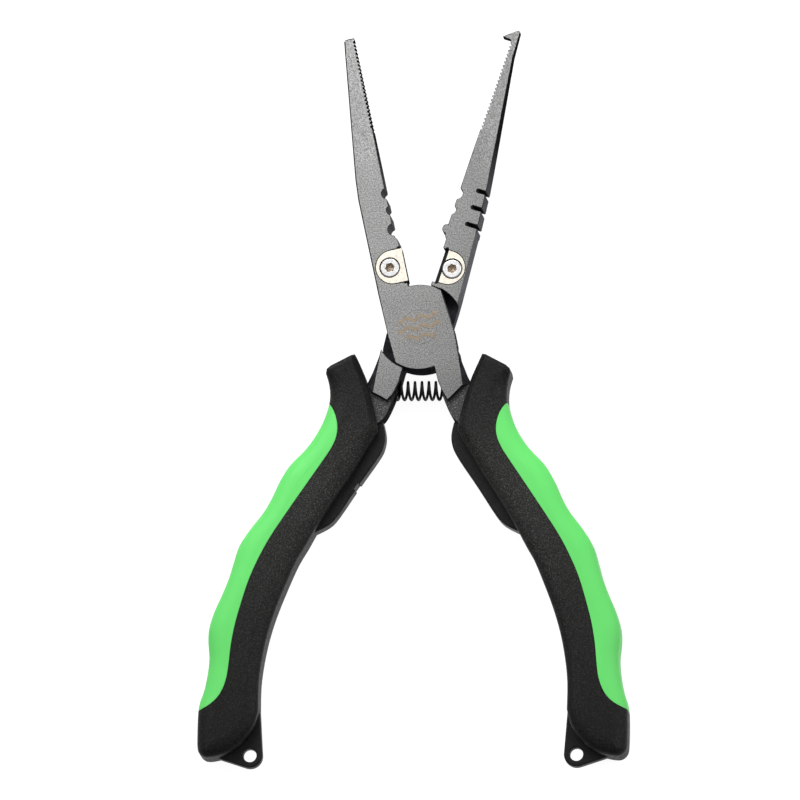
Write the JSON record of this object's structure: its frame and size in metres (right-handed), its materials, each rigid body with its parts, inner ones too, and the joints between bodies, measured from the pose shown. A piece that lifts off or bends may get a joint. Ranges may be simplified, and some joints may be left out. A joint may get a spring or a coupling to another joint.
{
  "type": "fishing pliers",
  "caption": "Long-nose fishing pliers with serrated jaws, crimping dies, side cutters, a split-ring hook, return spring and curved two-tone grips.",
  "frame": {"origin": "pivot axis at the flat back face of the lap joint", "axes": "+Y from the pivot to the jaw tips, +Z through the thickness to the front, +X to the right seen from the front"},
  "size_m": [0.1228, 0.2136, 0.014],
  "materials": {
    "steel": "grainy grey coating on forged steel",
    "spring_wire": "blackened spring wire",
    "cutter_steel": "ground hard steel",
    "screw_steel": "bright stainless steel",
    "core_plastic": "smooth black hard plastic",
    "grip_skin": "fine-grained black soft plastic",
    "green_inlay": "satin light green soft plastic"
  },
  "bodies": {
    "rear_side": {"rear_lever": "steel", "pivot_rivet": "steel", "return_spring": "spring_wire", "right_cutter": "cutter_steel", "right_cutter_screw": "screw_steel", "left_core": "core_plastic", "left_sleeve": "grip_skin", "left_inlay": "green_inlay"},
    "front_side": {"front_lever": "steel", "left_cutter": "cutter_steel", "left_cutter_screw": "screw_steel", "right_core": "core_plastic", "right_sleeve": "grip_skin", "right_inlay": "green_inlay"}
  },
  "joints": [
    {"name": "pivot", "type": "hinge", "parent": "rear_side", "child": "front_side", "pos_m": [0, 0, 0], "axis": [0, 0, -1], "range_deg": [0, 29.9], "stiffness_Nm_per_rad": 1.3, "springref_deg": -5.73, "deforming": ["return_spring"]}
  ]
}
